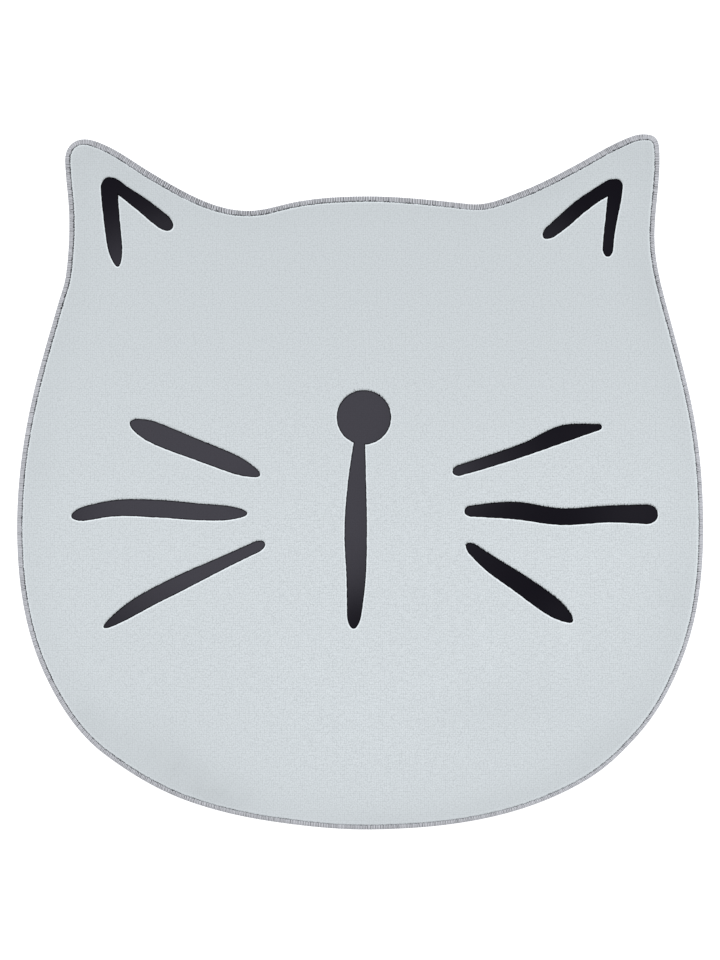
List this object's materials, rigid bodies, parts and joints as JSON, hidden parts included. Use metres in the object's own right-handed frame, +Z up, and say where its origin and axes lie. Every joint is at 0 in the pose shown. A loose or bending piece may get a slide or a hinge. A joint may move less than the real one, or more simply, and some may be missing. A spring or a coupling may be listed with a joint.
{
  "type": "animal shaped kids rug",
  "caption": "Flat cat-head-shaped floor rug for a child's room: light grey short cut pile with dark nose, mouth, whisker and ear marks, and a wound thread edge.",
  "frame": {"origin": "on the floor, under the middle of the outline's box", "axes": "+X towards the right cheek as seen from above with the ears away from the viewer, +Y towards the ears, +Z up out of the pile"},
  "size_m": [1, 1.013, 0.007],
  "materials": {
    "light_pile": "cool light grey short cut pile with a soft sheen, rubbed a little darker and lighter in patches",
    "dark_pile": "near-black violet-grey short cut pile of the figure, part of the same cloth as the light pile",
    "edge_thread": "mid grey thread wound closely over the cloth's rim"
  },
  "bodies": {
    "root": {"pile_panel": "light_pile", "edge_binding": "edge_thread"}
  },
  "joints": []
}
